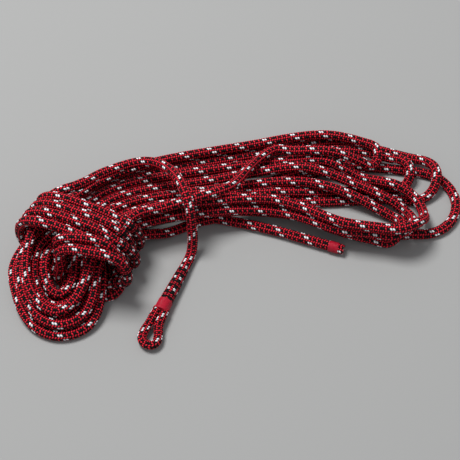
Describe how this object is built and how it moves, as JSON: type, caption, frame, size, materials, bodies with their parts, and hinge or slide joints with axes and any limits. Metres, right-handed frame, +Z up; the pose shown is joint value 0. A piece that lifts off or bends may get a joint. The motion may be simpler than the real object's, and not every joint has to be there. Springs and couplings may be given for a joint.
{
  "type": "hanked braided rope",
  "caption": "Braided rope in a loose hank, bound at one end with locking turns and wraps, with a spliced eye and a whipped end.",
  "frame": {"origin": "middle of the rope's outline on the floor that it lies on", "axes": "+X along the hank, from its bound end to its loose loops, +Z up from the floor"},
  "size_m": [0.4473, 0.2623, 0.072],
  "materials": {
    "braid": "woven",
    "core": "woven",
    "whipping": "smooth"
  },
  "bodies": {
    "root": {"hank": "braid", "bare_tail": "braid", "end_sheath": "braid", "end_core": "core", "end_whipping": "whipping", "eye_tail": "braid", "splice_cover": "braid", "buried_tail": "braid", "eye_whipping": "whipping", "eye_loop": "braid"}
  },
  "joints": []
}
